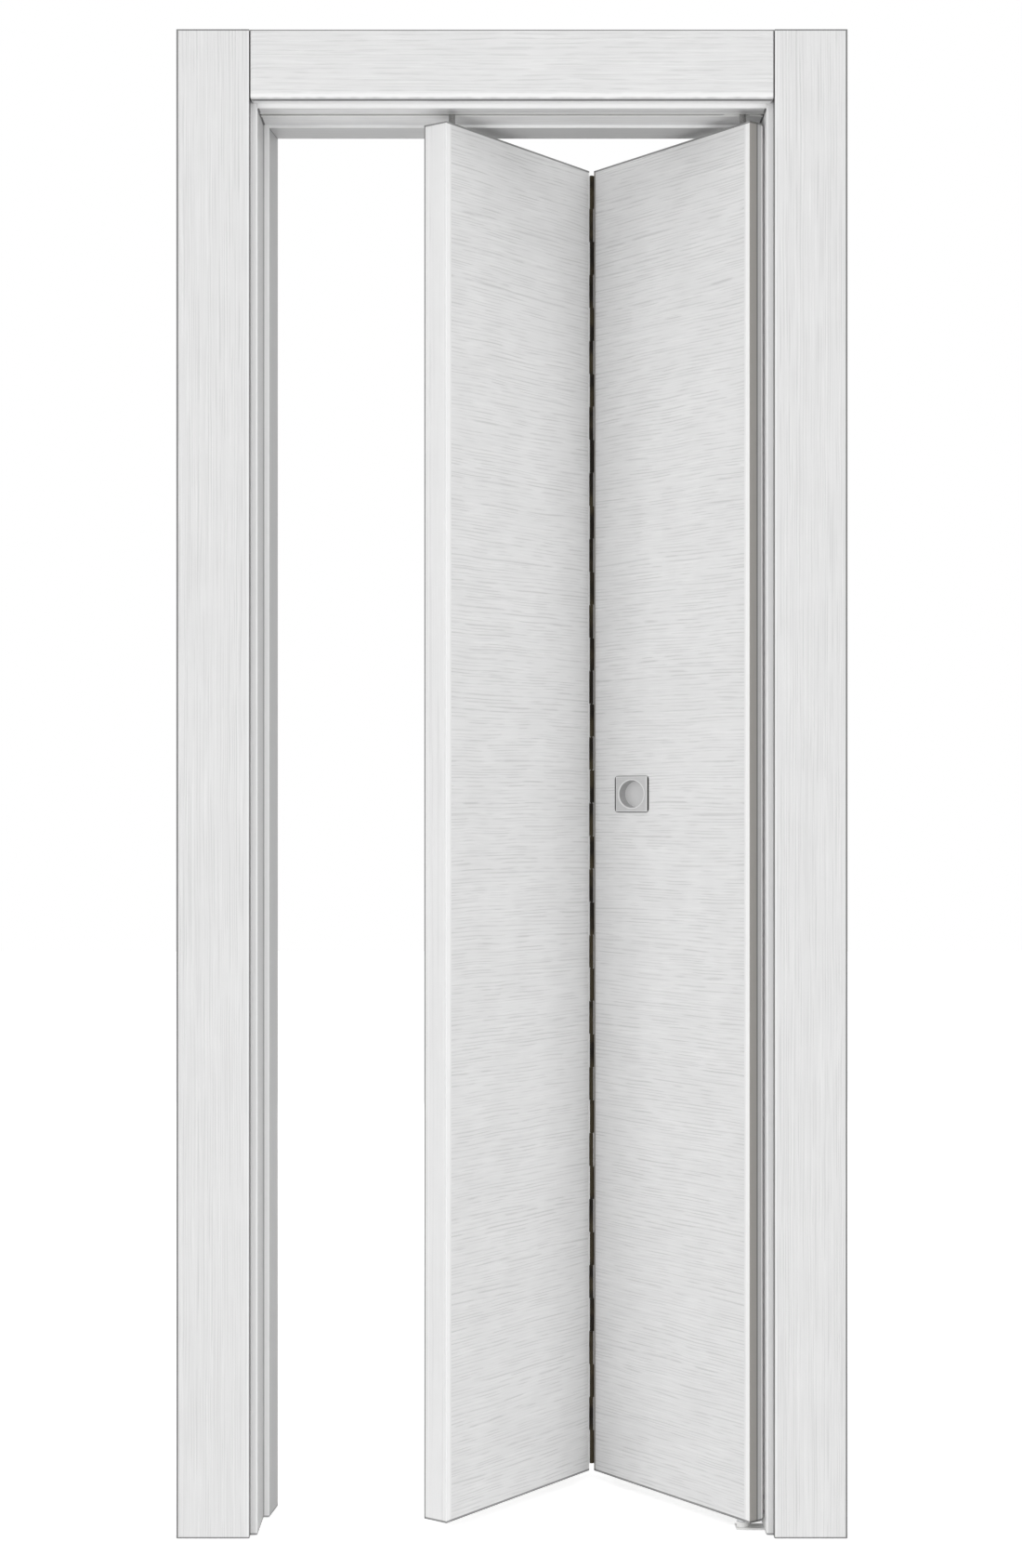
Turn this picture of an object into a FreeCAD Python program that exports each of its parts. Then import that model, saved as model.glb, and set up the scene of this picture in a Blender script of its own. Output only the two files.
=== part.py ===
import FreeCAD, Part
import math
import os

# Bifold closet door: two equal leaves hinged to each other, hung in a lined and cased doorway.
# X runs along the wall, Y into the closet, Z up, in millimetres. The origin is on the floor, at the
# middle of the opening, in the wall's front face. The model stands with the leaves half folded.

Vec = FreeCAD.Vector
along_x, along_y, along_z = Vec(1, 0, 0), Vec(0, 1, 0), Vec(0, 0, 1)

# opening and lining
opening_width = 718.0
opening_height = 2011.0
jamb_depth = 149.0
jamb_thickness = 30.0
stop_setback = 88.0
stop_front_rise = 8.0
stop_back_rise = 15.0
head_stop_rise = 4.0

# casings on the wall's face
casing_width = 102.4
casing_thickness = 18.0
casing_margin = 9.6
head_casing_height = 100.0
head_casing_margin = 6.0
casing_arris = 1.2
casing_tongue = 6.0
casing_tongue_depth = 12.0
head_casing_corner = 5.0

# leaves in the opening
pivot_gap = 3.0
lead_gap = 4.0
fold_gap = 4.0
floor_gap = 14.0
head_gap = 16.0
leaf_thickness = 40.0
pivot_line_setback = 36.0
pivot_depth = 11.0
heel_margin = 0.3
heel_clearance = 1.2
rest_fold = 53.3

# make-up of a leaf
skin_thickness = 3.0
outer_lipping = 12.0
fold_lipping = 4.0
outer_stile = 44.0
fold_stile = 34.0
rail_height = 90.0
lock_block_height = 240.0
lock_block_margin = 18.0

# continuous hinge
knuckle_radius = 2.9
hinge_pin_radius = 1.4
hinge_running_fit = 0.06
hinge_standoff = 2.6
hinge_relief = 0.35
hinge_plate = 1.2
hinge_wing_width = 26.0
hinge_top_inset = 7.0
hinge_bottom_inset = 11.0
knuckle_count = 39
knuckle_end_gap = 0.4
knuckle_sides = 10

# track in the head
track_width = 22.0
track_height = 20.0
track_wall = 1.5
track_slot = 10.0
track_end_gap = 1.0

# pivots
pivot_pin_radius = 4.5
pivot_running_fit = 0.05
housing_radius = 8.0
housing_flutes = 12
housing_length = 42.0
pin_hold = 36.0
top_bracket_length = 52.0
top_bracket_height = 15.0
top_bracket_side_gap = 0.1
top_pin_tip_gap = 2.0
floor_plate = 2.5
floor_plate_width = 24.0
floor_plate_margin = 1.5
bracket_upright = 58.0
socket_radius = 8.5
socket_height = 7.5
height_nut_across = 15.0
height_nut_gap = 0.4
bracket_screw_radius = 2.0
bracket_screw_length = 20.0
bottom_bracket_screw_rows = (22.0, 44.0)

# guide
guide_pin_radius = 4.0
guide_running_fit = 0.05
guide_collar_gap = 0.4
guide_wheel_gap = 0.3
guide_wheel_height = 8.0
guide_wheel_lift = 1.5
guide_clip_radius = 6.2
guide_clip_sides = 12
guide_clip_thickness = 1.2
guide_clip_gap = 0.2
guide_pin_tip = 1.0

# flush pull on the pivot leaf
pull_width = 79.0
pull_height = 55.5
pull_stand = 1.6
pull_corner = 4.0
pull_from_fold = 93.5
pull_centre_height = 1045.0
cup_rim_length = 58.0
cup_rim_height = 41.0
cup_draft = 0.8
cup_depth = 12.0
cup_wall = 1.0
cup_pocket_gap = 0.6
cup_sides = 28

# fixings of the lining
frame_screw_radius = 2.5
frame_screw_length = 80.0
frame_screw_inset = 20.0
wall_pilot_radius = 1.75
wall_pilot_depth = 15.0
wall_pilot_low = 300.0
wall_pilot_rise = 1400.0
wall_pilot_inset = 40.0

# sizes that follow
half_opening = opening_width / 2
leaf_width = (opening_width - pivot_gap - lead_gap - fold_gap) / 2
leaf_bottom = floor_gap
leaf_top = opening_height - head_gap
heel_radius = leaf_thickness - pivot_depth + heel_margin
pivot_inset = heel_radius + heel_clearance - pivot_gap
fold_span = leaf_width - pivot_inset + fold_gap / 2
face_front = -pivot_depth
face_back = leaf_thickness - pivot_depth
edge_outer = pivot_inset
edge_fold = -fold_span + fold_gap / 2
hinge_axis_y = -(pivot_depth + hinge_standoff)
rest_angle = math.radians(rest_fold)
pivot_x = half_opening - pivot_gap - pivot_inset
guide_x = pivot_x - 2 * (
    fold_span * math.cos(rest_angle) + (pivot_depth + hinge_standoff) * math.sin(rest_angle)
)
jamb_outer = half_opening + jamb_thickness
jamb_top = opening_height + jamb_thickness
casing_inner = half_opening + casing_margin
casing_outer = casing_inner + casing_width
head_casing_bottom = opening_height + head_casing_margin
casing_top = head_casing_bottom + head_casing_height
track_floor = opening_height + track_wall
track_inner_top = opening_height + track_height - track_wall
wheel_bottom = track_floor + guide_wheel_lift
wheel_top = wheel_bottom + guide_wheel_height


def box(x0, x1, y0, y1, z0, z1):
    return Part.makeBox(x1 - x0, y1 - y0, z1 - z0, Vec(x0, y0, z0))


def post(radius, x, y, z0, z1):
    return Part.makeCylinder(radius, z1 - z0, Vec(x, y, z0), along_z)


def prism(points, z0, z1):
    corners = [Vec(x, y, z0) for x, y in points]
    face = Part.Face(Part.makePolygon(corners + corners[:1]))
    return face.extrude(along_z * (z1 - z0))


def fluted(radius, sides, x, y, z0, z1):
    step = 2 * math.pi / sides
    return prism([(x + radius * math.cos(i * step), y + radius * math.sin(i * step))
                  for i in range(sides)], z0, z1)


def on_pivot_side(shape):
    placed = shape.copy()
    placed.rotate(Vec(0, 0, 0), along_z, -rest_fold)
    placed.translate(Vec(pivot_x, pivot_line_setback, 0))
    return placed


def on_lead_side(shape):
    placed = shape.mirror(Vec(0, 0, 0), along_x)
    placed.rotate(Vec(0, 0, 0), along_z, rest_fold)
    placed.translate(Vec(guide_x, pivot_line_setback, 0))
    return placed


# ---- lining of the opening

def frame_screws():
    screws = []
    for side in (-1, 1):
        for y in (frame_screw_inset, jamb_depth - frame_screw_inset):
            at = Vec(side * jamb_outer, y, opening_height + jamb_thickness / 2)
            screws.append(Part.makeCylinder(frame_screw_radius, frame_screw_length, at, along_x * -side))
    return Part.makeCompound(screws)


def wall_pilots(side):
    start = side * jamb_outer
    return [
        Part.makeCylinder(wall_pilot_radius, wall_pilot_depth, Vec(start, y, z), along_x * -side)
        for y in (wall_pilot_inset, jamb_depth - wall_pilot_inset)
        for z in (wall_pilot_low, wall_pilot_low + wall_pilot_rise)
    ]


# tongues behind the casings, let into grooves round the lining's outer edge
def side_tongue(side):
    x0, x1 = sorted((side * (jamb_outer - casing_tongue), side * jamb_outer))
    post_run = box(x0, x1, 0, casing_tongue_depth, 0, jamb_top)
    x0, x1 = sorted((side * casing_inner, side * jamb_outer))
    return post_run.fuse(box(x0, x1, 0, casing_tongue_depth, jamb_top - casing_tongue, jamb_top))


def head_tongue():
    return box(-casing_inner, casing_inner, 0, casing_tongue_depth, jamb_top - casing_tongue, jamb_top)


def side_jamb(side, screws):
    x0, x1 = sorted((side * half_opening, side * jamb_outer))
    jamb = box(x0, x1, 0, jamb_depth, 0, jamb_top)
    cuts = [screws, side_tongue(side), head_tongue()] + wall_pilots(side)
    if side > 0:
        cuts += [bracket_upright_box(), bottom_bracket_screws()]
    return jamb.cut(cuts)


def head_jamb(screws):
    jamb = box(-half_opening, half_opening, 0, jamb_depth, opening_height, jamb_top)
    groove = box(-half_opening, half_opening, pivot_line_setback - track_width / 2,
                 pivot_line_setback + track_width / 2, opening_height, opening_height + track_height)
    return jamb.cut([groove, head_tongue(), screws])


def side_stop(side):
    wall = side * half_opening
    return prism([
        (wall, stop_setback),
        (wall - side * stop_front_rise, stop_setback),
        (wall - side * stop_back_rise, jamb_depth),
        (wall, jamb_depth),
    ], 0, opening_height)


def head_stop():
    low = opening_height - head_stop_rise
    inner = half_opening
    slab = box(-inner, inner, stop_setback, jamb_depth, low, opening_height)
    return slab.cut([side_stop(-1), side_stop(1)])


# ---- casings

def side_casing(side):
    x0, x1 = sorted((side * casing_inner, side * casing_outer))
    board = box(x0, x1, -casing_thickness, 0, 0, casing_top)
    edges = [e for e in board.Edges if is_front_edge(e) and e.Length > casing_width * 2]
    return board.makeChamfer(casing_arris, edges).fuse(side_tongue(side))


def head_casing():
    board = box(-casing_inner, casing_inner, -casing_thickness, 0, head_casing_bottom, casing_top)
    corners = [
        e for e in board.Edges
        if abs(e.CenterOfMass.z - head_casing_bottom) < head_casing_corner and is_cross_edge(e)
    ]
    return board.makeFillet(head_casing_corner, corners).fuse(head_tongue())


def is_front_edge(edge):
    return all(abs(v.Point.y + casing_thickness) < casing_arris for v in edge.Vertexes)


def is_cross_edge(edge):
    return abs(edge.Length - casing_thickness) < casing_arris and not is_front_edge(edge)


# ---- leaves, each built about its own pivot or guide axis with the fold towards -X

def heel_waste(z0, z1):
    reach = 2 * leaf_thickness
    return box(0, reach, 0, reach, z0, z1).cut(post(heel_radius, 0, 0, z0, z1))


def leaf_pieces(heel, cup_pocket, bores):
    x_skin0, x_skin1 = edge_fold + fold_lipping, edge_outer - outer_lipping
    x_stile = x_skin0 + fold_stile
    x_post = x_skin1 - outer_stile
    x_block = -fold_span + pull_from_fold + pull_width / 2 + lock_block_margin
    y_in, y_out = face_front + skin_thickness, face_back - skin_thickness
    z_rail0, z_rail1 = leaf_bottom + rail_height, leaf_top - rail_height
    z_block0 = pull_centre_height - lock_block_height / 2
    z_block1 = pull_centre_height + lock_block_height / 2
    slab = {
        "front_skin": box(x_skin0, x_skin1, face_front, y_in, leaf_bottom, leaf_top),
        "back_skin": box(x_skin0, x_skin1, y_out, face_back, leaf_bottom, leaf_top),
        "outer_lipping": box(x_skin1, edge_outer, face_front, face_back, leaf_bottom, leaf_top),
        "fold_lipping": box(edge_fold, x_skin0, face_front, face_back, leaf_bottom, leaf_top),
        "fold_stile": box(x_skin0, x_stile, y_in, y_out, leaf_bottom, leaf_top),
        "outer_stile": box(x_post, x_skin1, y_in, y_out, leaf_bottom, leaf_top),
        "rails": Part.makeCompound([
            box(x_stile, x_post, y_in, y_out, leaf_bottom, z_rail0),
            box(x_stile, x_post, y_in, y_out, z_rail1, leaf_top),
        ]),
        "lock_block": box(x_stile, x_block, y_in, y_out, z_block0, z_block1),
        "core": Part.makeCompound([
            box(x_stile, x_post, y_in, y_out, z_rail0, z_block0),
            box(x_block, x_post, y_in, y_out, z_block0, z_block1),
            box(x_stile, x_post, y_in, y_out, z_block1, z_rail1),
        ]),
    }
    if heel:
        waste = heel_waste(leaf_bottom, leaf_top)
        for name in ("outer_lipping", "outer_stile", "back_skin"):
            slab[name] = slab[name].cut(waste)
    if cup_pocket:
        for name in ("front_skin", "lock_block"):
            slab[name] = slab[name].cut(cup_pocket)
    slab["outer_stile"] = slab["outer_stile"].cut(bores)
    return slab


def top_plug():
    return fluted(housing_radius, housing_flutes, 0, 0, leaf_top - housing_length, leaf_top)


def bottom_plug():
    return fluted(housing_radius, housing_flutes, 0, 0, leaf_bottom, leaf_bottom + housing_length)


# ---- continuous hinge

hinge_low = leaf_bottom + hinge_bottom_inset
hinge_high = leaf_top - hinge_top_inset
knuckle_pitch = (hinge_high - hinge_low) / knuckle_count


def hinge_wing(first, bore_radius):
    x_plate = edge_fold - hinge_plate
    plate = box(x_plate, edge_fold, hinge_axis_y + knuckle_radius + hinge_relief,
                face_front + hinge_wing_width, hinge_low, hinge_high)
    parts = []
    for i in range(first, knuckle_count, 2):
        z0 = hinge_low + i * knuckle_pitch + knuckle_end_gap / 2
        z1 = z0 + knuckle_pitch - knuckle_end_gap
        parts.append(fluted(knuckle_radius, knuckle_sides, -fold_span, hinge_axis_y, z0, z1))
        parts.append(box(x_plate, edge_fold, hinge_axis_y, face_front + hinge_wing_width / 2, z0, z1))
    wing = plate.multiFuse(parts).removeSplitter()
    bore_corner = bore_radius / math.cos(math.pi / knuckle_sides)
    return wing.cut(fluted(bore_corner, knuckle_sides, -fold_span, hinge_axis_y, hinge_low, hinge_high))


# ---- track in the head

def track():
    y0, y1 = pivot_line_setback - track_width / 2, pivot_line_setback + track_width / 2
    x1 = half_opening - track_end_gap
    outside = box(-x1, x1, y0, y1, opening_height, opening_height + track_height)
    channel = box(-x1, x1, y0 + track_wall, y1 - track_wall, track_floor, track_inner_top)
    slot = box(-x1, x1, pivot_line_setback - track_slot / 2, pivot_line_setback + track_slot / 2,
               opening_height, track_floor)
    return outside.cut([channel, slot])


# ---- pivots

def top_bracket():
    half = track_width / 2 - track_wall - top_bracket_side_gap
    block = box(pivot_x - top_bracket_length / 2, pivot_x + top_bracket_length / 2,
                pivot_line_setback - half, pivot_line_setback + half,
                track_floor, track_floor + top_bracket_height)
    bore = post(pivot_pin_radius + pivot_running_fit, pivot_x, pivot_line_setback,
                track_floor, track_floor + top_bracket_height)
    return block.cut(bore)


def top_pivot_pin():
    tip = track_floor + top_bracket_height - top_pin_tip_gap
    return post(pivot_pin_radius, 0, 0, leaf_top - pin_hold, tip)


def bracket_upright_box():
    y0 = pivot_line_setback - floor_plate_width / 2
    return box(half_opening, half_opening + floor_plate, y0, y0 + floor_plate_width, 0, bracket_upright)


def bottom_bracket(screws):
    y0 = pivot_line_setback - floor_plate_width / 2
    x0 = pivot_x - socket_radius - floor_plate_margin
    foot = box(x0, half_opening, y0, y0 + floor_plate_width, 0, floor_plate)
    socket = post(socket_radius, pivot_x, pivot_line_setback, floor_plate, floor_plate + socket_height)
    body = foot.multiFuse([bracket_upright_box(), socket]).removeSplitter()
    bore = post(pivot_pin_radius + pivot_running_fit, pivot_x, pivot_line_setback, floor_plate,
                floor_plate + socket_height)
    return body.cut([bore, screws])


def bottom_bracket_screws():
    return Part.makeCompound([
        Part.makeCylinder(bracket_screw_radius, bracket_screw_length, Vec(half_opening, pivot_line_setback, z),
                          along_x)
        for z in bottom_bracket_screw_rows
    ])


def bottom_pivot_pin():
    return post(pivot_pin_radius, 0, 0, floor_plate, leaf_bottom + pin_hold)


def height_nut(pin):
    low = floor_plate + socket_height + height_nut_gap
    return fluted(height_nut_across / math.sqrt(3), 6, 0, 0, low, leaf_bottom).cut(pin)


# ---- guide

def guide_pin():
    collar_radius = track_slot / 2 - guide_collar_gap
    tip = wheel_top + guide_clip_gap + guide_clip_thickness + guide_pin_tip
    shaft = post(guide_pin_radius, 0, 0, leaf_top - pin_hold, tip)
    collar = post(collar_radius, 0, 0, leaf_top, wheel_bottom)
    return shaft.fuse(collar).removeSplitter()


def guide_wheel():
    radius = track_width / 2 - track_wall - guide_wheel_gap
    wheel = post(radius, 0, 0, wheel_bottom, wheel_top)
    bore = post(guide_pin_radius + guide_running_fit, 0, 0, wheel_bottom, wheel_top)
    return wheel.cut(bore)


def guide_clip(pin):
    low = wheel_top + guide_clip_gap
    return fluted(guide_clip_radius, guide_clip_sides, 0, 0, low, low + guide_clip_thickness).cut(pin)


# ---- flush pull, in the pivot leaf's own frame

def oval(length, height, depth, centre_x):
    y = face_front - pull_stand + depth
    step = 2 * math.pi / cup_sides
    corners = [Vec(centre_x + length / 2 * math.cos(i * step), y,
                   pull_centre_height + height / 2 * math.sin(i * step)) for i in range(cup_sides)]
    return Part.makePolygon(corners + corners[:1])


def cup(grow, depth):
    x = -fold_span + pull_from_fold
    rim = oval(cup_rim_length + 2 * grow, cup_rim_height + 2 * grow, 0, x)
    inset = cup_draft - grow
    floor = oval(cup_rim_length - 2 * inset, cup_rim_height - 2 * inset, depth, x)
    return Part.makeLoft([rim, floor], True, True)


def pull():
    x = -fold_span + pull_from_fold
    plate = box(x - pull_width / 2, x + pull_width / 2, face_front - pull_stand, face_front,
                pull_centre_height - pull_height / 2, pull_centre_height + pull_height / 2)
    corners = [e for e in plate.Edges if abs(e.Length - pull_stand) < pull_stand / 2]
    plate = plate.makeFillet(pull_corner, corners)
    shell = cup(cup_wall, cup_depth + cup_wall)
    return plate.fuse(shell).removeSplitter().cut(cup(0, cup_depth))


def pull_pocket():
    x = -fold_span + pull_from_fold
    half_x = cup_rim_length / 2 + cup_wall + cup_pocket_gap
    half_z = cup_rim_height / 2 + cup_wall + cup_pocket_gap
    depth = cup_depth + cup_wall - pull_stand + cup_pocket_gap
    return box(x - half_x, x + half_x, face_front, face_front + depth,
               pull_centre_height - half_z, pull_centre_height + half_z)


# ---- the assembly

def frame_nodes():
    screws = frame_screws()
    bracket_screws = bottom_bracket_screws()
    return {
        "left_jamb": side_jamb(-1, screws),
        "right_jamb": side_jamb(1, screws),
        "head_jamb": head_jamb(screws),
        "left_stop": side_stop(-1),
        "right_stop": side_stop(1),
        "head_stop": head_stop(),
        "left_casing": side_casing(-1),
        "right_casing": side_casing(1),
        "head_casing": head_casing(),
        "frame_screws": screws,
        "top_track": track(),
        "top_pivot_bracket": top_bracket(),
        "bottom_pivot_bracket": bottom_bracket(bracket_screws),
        "bottom_bracket_screws": bracket_screws,
    }


def pivot_leaf_nodes():
    top_pin, bottom_pin = top_pivot_pin(), bottom_pivot_pin()
    slab = leaf_pieces(True, pull_pocket(), [top_plug(), bottom_plug()])
    nodes = {"pivot_leaf_" + name: shape for name, shape in slab.items()}
    nodes.update({
        "top_pivot_pin": top_pin,
        "top_pivot_housing": top_plug().cut(top_pin),
        "bottom_pivot_pin": bottom_pin,
        "bottom_pivot_housing": bottom_plug().cut(bottom_pin),
        "height_nut": height_nut(bottom_pin),
        "pivot_leaf_hinge_wing": hinge_wing(0, hinge_pin_radius),
        "hinge_pin": post(hinge_pin_radius, -fold_span, hinge_axis_y, hinge_low, hinge_high),
        "flush_pull": pull(),
    })
    return {name: on_pivot_side(shape) for name, shape in nodes.items()}


def lead_leaf_nodes():
    pin = guide_pin()
    slab = leaf_pieces(False, None, [top_plug()])
    nodes = {"lead_leaf_" + name: shape for name, shape in slab.items()}
    nodes.update({
        "guide_pin": pin,
        "guide_housing": top_plug().cut(pin),
        "guide_clip": guide_clip(pin),
        "guide_wheel": guide_wheel(),
        "lead_leaf_hinge_wing": hinge_wing(1, hinge_pin_radius + hinge_running_fit),
    })
    return {name: on_lead_side(shape) for name, shape in nodes.items()}


nodes = {**frame_nodes(), **pivot_leaf_nodes(), **lead_leaf_nodes()}

os.makedirs("parts", exist_ok=True)
for name, shape in nodes.items():
    shape.exportStep("parts/" + name + ".step")
    print(name, len(shape.Solids), "solids", round(shape.Volume / 1000.0, 1), "cm3",
          "" if shape.isValid() else "INVALID")
print("pivot axis x", round(pivot_x, 3), "guide axis x", round(guide_x, 3), "y", pivot_line_setback)
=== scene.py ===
import bpy
import bmesh
import math
from mathutils import Matrix, Vector


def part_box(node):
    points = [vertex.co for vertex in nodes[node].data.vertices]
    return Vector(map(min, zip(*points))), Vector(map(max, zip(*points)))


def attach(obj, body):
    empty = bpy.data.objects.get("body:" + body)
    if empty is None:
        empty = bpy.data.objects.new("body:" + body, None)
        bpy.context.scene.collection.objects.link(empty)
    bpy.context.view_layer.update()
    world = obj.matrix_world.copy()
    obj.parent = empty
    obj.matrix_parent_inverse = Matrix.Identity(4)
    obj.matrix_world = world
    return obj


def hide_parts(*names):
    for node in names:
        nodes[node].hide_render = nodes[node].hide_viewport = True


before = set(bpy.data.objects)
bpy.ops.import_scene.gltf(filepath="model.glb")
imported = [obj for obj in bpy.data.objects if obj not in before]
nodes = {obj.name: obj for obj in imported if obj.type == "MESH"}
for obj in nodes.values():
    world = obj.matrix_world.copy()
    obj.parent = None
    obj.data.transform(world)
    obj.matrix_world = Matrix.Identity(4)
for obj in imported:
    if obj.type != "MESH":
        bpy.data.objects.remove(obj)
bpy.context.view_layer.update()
print("frame loaded:", len(nodes), "nodes")

# each leaf has its own frame: X from the pivot or guide axis, Y through the leaf, Z up; flip mirrors X
leafPlace = {
    "pivot": {"origin": (0.3285, 0.036, 0.0), "turn": -53.3, "flip": 1},
    "lead": {"origin": (-0.08535, 0.036, 0.0), "turn": 53.3, "flip": -1},
}
leafShape = {"front": -0.011, "back": 0.029, "outer": 0.0275, "fold": -0.326, "low": 0.014, "high": 1.995}


def leafMatrix(side):
    spot = leafPlace[side]
    return Matrix.Translation(spot["origin"]) @ Matrix.Rotation(math.radians(spot["turn"]), 4, "Z")


# links what is a socket and sets what is a value
def setInputs(tree, node, inputs):
    for key, value in inputs.items():
        if isinstance(value, bpy.types.NodeSocket):
            tree.links.new(value, node.inputs[key])
        else:
            node.inputs[key].default_value = value


def addNode(tree, kind, inputs=None, **settings):
    node = tree.nodes.new(kind)
    for name, value in settings.items():
        setattr(node, name, value)
    setInputs(tree, node, inputs or {})
    return node


def maths(tree, operation, a, b=0.0):
    return addNode(tree, "ShaderNodeMath", {0: a, 1: b}, operation=operation).outputs[0]


def scaled(tree, value, factor):
    return maths(tree, "MULTIPLY", value, factor)


def apart(tree, value, centre):
    return maths(tree, "ABSOLUTE", maths(tree, "SUBTRACT", value, centre))


# length of the flat vector (a, b)
def lengthOf(tree, a, b):
    return maths(tree, "SQRT", maths(tree, "ADD", scaled(tree, a, a), scaled(tree, b, b)))


def noise(tree, vector, scale, detail, **inputs):
    return addNode(tree, "ShaderNodeTexNoise", {
        "Vector": vector, "Scale": scale, "Detail": detail, **inputs,
    }).outputs["Fac"]


def drawnOut(tree, vector, scale):
    return addNode(tree, "ShaderNodeMapping", {"Vector": vector, "Scale": scale}).outputs[0]


def objectCoords(tree):
    return addNode(tree, "ShaderNodeTexCoord").outputs["Object"]


def ranged(tree, value, low, high, toLow=0.0, toHigh=1.0):
    return addNode(tree, "ShaderNodeMapRange", {
        "Value": value, "From Min": low, "From Max": high, "To Min": toLow, "To Max": toHigh,
    }, interpolation_type="SMOOTHSTEP").outputs["Result"]


def past(tree, value, edge, soft=0.0005):
    return ranged(tree, value, edge - soft / 2, edge + soft / 2)


def short(tree, value, edge, soft=0.0005):
    return ranged(tree, value, edge + soft / 2, edge - soft / 2)


def allOf(tree, first, *others):
    for mask in others:
        first = scaled(tree, first, mask)
    return first


def anyOf(tree, first, *others):
    for mask in others:
        first = maths(tree, "MAXIMUM", first, mask)
    return first


def axesOf(tree, vector):
    return addNode(tree, "ShaderNodeSeparateXYZ", {"Vector": vector}).outputs


def mixed(tree, factor, a, b):
    node = addNode(tree, "ShaderNodeMix", data_type="RGBA")
    for key, value in (("Factor_Float", factor), ("A_Color", a), ("B_Color", b)):
        socket = next(s for s in node.inputs if s.identifier == key)
        if isinstance(value, bpy.types.NodeSocket):
            tree.links.new(value, socket)
        else:
            socket.default_value = value
    return next(s for s in node.outputs if s.identifier == "Result_Color")


# lays one tone after another over the colour, each by its mask
def painted(tree, colour, tones):
    for mask, tone in tones:
        colour = mixed(tree, mask, colour, tone)
    return colour


def rgb(r, g, b):
    return (r, g, b, 1.0)


def grey(value):
    return rgb(value, value, value)


def addSockets(tree, inputs, outputs):
    for label, kind, value in inputs:
        socket = tree.interface.new_socket(name=label, in_out="INPUT", socket_type=kind)
        if value is not None:
            socket.default_value = value
    for label, kind in outputs:
        tree.interface.new_socket(name=label, in_out="OUTPUT", socket_type=kind)


grainSettings = {
    "bend": 8.0,                         # scale of the slow bend that Waver measures
    "drift": (0.10, 4.0),                # how slowly the lines close up and open, and by how many lines
    "perAcross": 0.5,                    # lines for each unit of Across
    "lineWidth": (0.26, 0.04), "breakStretch": (1.6, 0.3, 0.3), "breaks": (0.38, 0.60, 0.15, 1.0),
    "poreEdge": 0.66, "poreSoft": 0.13, "coverShare": 0.16, "poreDepth": 0.5, "lineDepth": 0.95,
    "broad": 0.22, "broadRange": (0.35, 0.65, 0.55, 1.0), "ridges": (0.45, 0.33),
    "clouds": 14.0, "cloudRange": (0.3, 0.7),
}


# embossed grain that runs along X of the vector it is given: fine pores, broken lines, pale ridges and clouds
def makeGrainGroup():
    g = grainSettings
    group = bpy.data.node_groups.new("poreGrain", "ShaderNodeTree")
    addSockets(group, [
        ("Vector", "NodeSocketVector", None), ("Along", "NodeSocketFloat", 12.0),
        ("Across", "NodeSocketFloat", 300.0), ("Waver", "NodeSocketFloat", 0.006),
        ("Coverage", "NodeSocketFloat", 0.5),
    ], [("Pores", "NodeSocketFloat"), ("Ridges", "NodeSocketFloat"), ("Clouds", "NodeSocketFloat")])
    given, put = group.nodes.new("NodeGroupInput").outputs, group.nodes.new("NodeGroupOutput")
    vector, along, across = given["Vector"], given["Along"], given["Across"]
    lift = scaled(group, maths(group, "SUBTRACT", noise(group, vector, g["bend"], 1.5), 0.5), given["Waver"])
    x, y, z = axesOf(group, vector)
    laid = addNode(group, "ShaderNodeCombineXYZ", {
        "X": scaled(group, x, along), "Y": scaled(group, y, across),
        "Z": scaled(group, maths(group, "ADD", z, lift), across),
    }).outputs[0]

    driftScale, driftBy = g["drift"]
    count = scaled(group, maths(group, "ADD", maths(group, "ADD", y, z), lift),
                   scaled(group, across, g["perAcross"]))
    drift = scaled(group, noise(group, laid, driftScale, 2.0), driftBy)
    offLine = apart(group, maths(group, "FRACT", maths(group, "ADD", count, drift)), 0.5)
    breaks = noise(group, drawnOut(group, laid, g["breakStretch"]), 1.0, 1.0)
    lines = allOf(group, ranged(group, offLine, *g["lineWidth"]), ranged(group, breaks, *g["breaks"]))

    fine = noise(group, laid, 1.0, 1.0)
    edge = maths(group, "SUBTRACT", g["poreEdge"], scaled(group, given["Coverage"], g["coverShare"]))
    pores = addNode(group, "ShaderNodeMapRange", {
        "Value": fine, "From Min": edge, "From Max": maths(group, "ADD", edge, g["poreSoft"]),
    }).outputs["Result"]
    pores = anyOf(group, scaled(group, pores, g["poreDepth"]), scaled(group, lines, g["lineDepth"]))
    broad = noise(group, laid, g["broad"], 1.0)
    clouds = noise(group, vector, g["clouds"], 2.0)
    setInputs(group, put, {
        "Pores": scaled(group, pores, ranged(group, broad, *g["broadRange"])),
        "Ridges": ranged(group, fine, *g["ridges"]), "Clouds": ranged(group, clouds, *g["cloudRange"]),
    })
    return group


grainGroup = makeGrainGroup()


def newMaterial(name):
    material = bpy.data.materials.new(name)
    material.use_nodes = True
    tree = material.node_tree
    shader = next(n for n in tree.nodes if n.type == "BSDF_PRINCIPLED")
    return material, tree, shader


def placed(tree, vector, origin, turn):
    return addNode(tree, "ShaderNodeMapping", {
        "Vector": vector, "Location": origin, "Rotation": [math.radians(a) for a in turn],
    }, vector_type="TEXTURE").outputs[0]


def emboss(tree, shader, height, strength, distance, invert=False):
    bump = addNode(tree, "ShaderNodeBump", {
        "Height": height, "Strength": strength, "Distance": distance}, invert=invert)
    tree.links.new(bump.outputs["Normal"], shader.inputs["Normal"])


foilSettings = {"roughness": (0.44, 0.58), "ridgeTone": grey(0.95), "bump": 0.5, "bumpDistance": 0.00025}


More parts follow.
